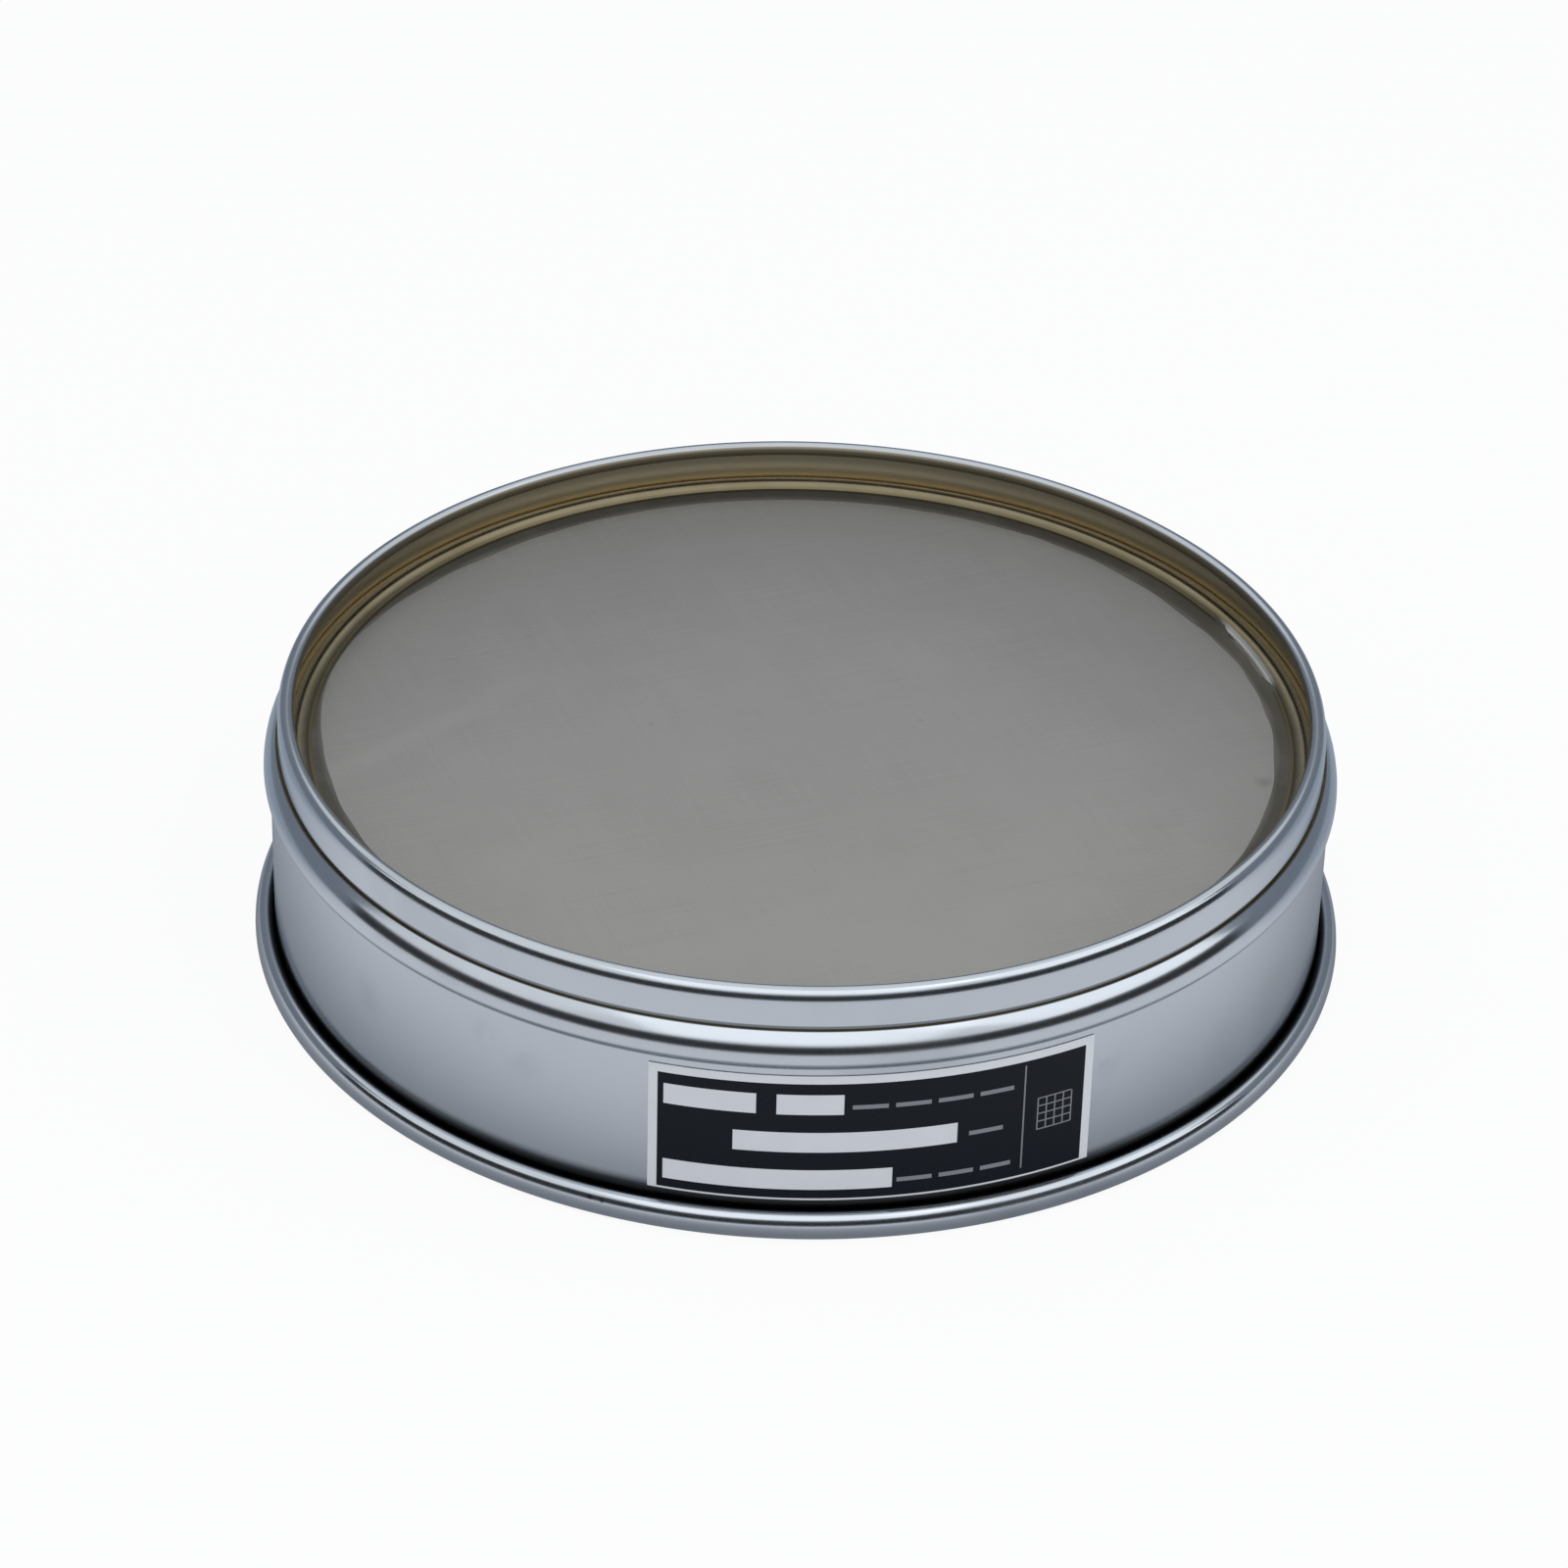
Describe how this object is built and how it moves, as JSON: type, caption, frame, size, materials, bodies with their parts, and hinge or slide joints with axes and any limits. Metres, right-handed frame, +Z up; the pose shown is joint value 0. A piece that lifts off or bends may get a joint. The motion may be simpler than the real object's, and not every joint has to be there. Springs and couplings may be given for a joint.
{
  "type": "test sieve",
  "caption": "Round laboratory test sieve with a rolled mouth, crimped bead, fine wire cloth and a stepped skirt for stacking, lying on its mouth.",
  "frame": {"origin": "on the sieve's axis, in the plane that the rolled mouth rests on", "axes": "+Z up along the sieve's axis, from the mouth towards the skirt; the label faces -Y"},
  "size_m": [0.2088, 0.2088, 0.0509],
  "materials": {
    "frame_metal": "satin bright plated sheet",
    "skirt_metal": "satin bright plated sheet",
    "ring_metal": "satin, slightly yellowed",
    "wire_cloth": "woven fine wire, matt",
    "solder": "dull grey, uneven",
    "label": "printed film"
  },
  "bodies": {
    "root": {"frame": "frame_metal", "skirt": "skirt_metal", "retaining_ring": "ring_metal", "wire_cloth": "wire_cloth", "solder_band": "solder", "solder_fillet": "solder", "label": "label"}
  },
  "joints": []
}
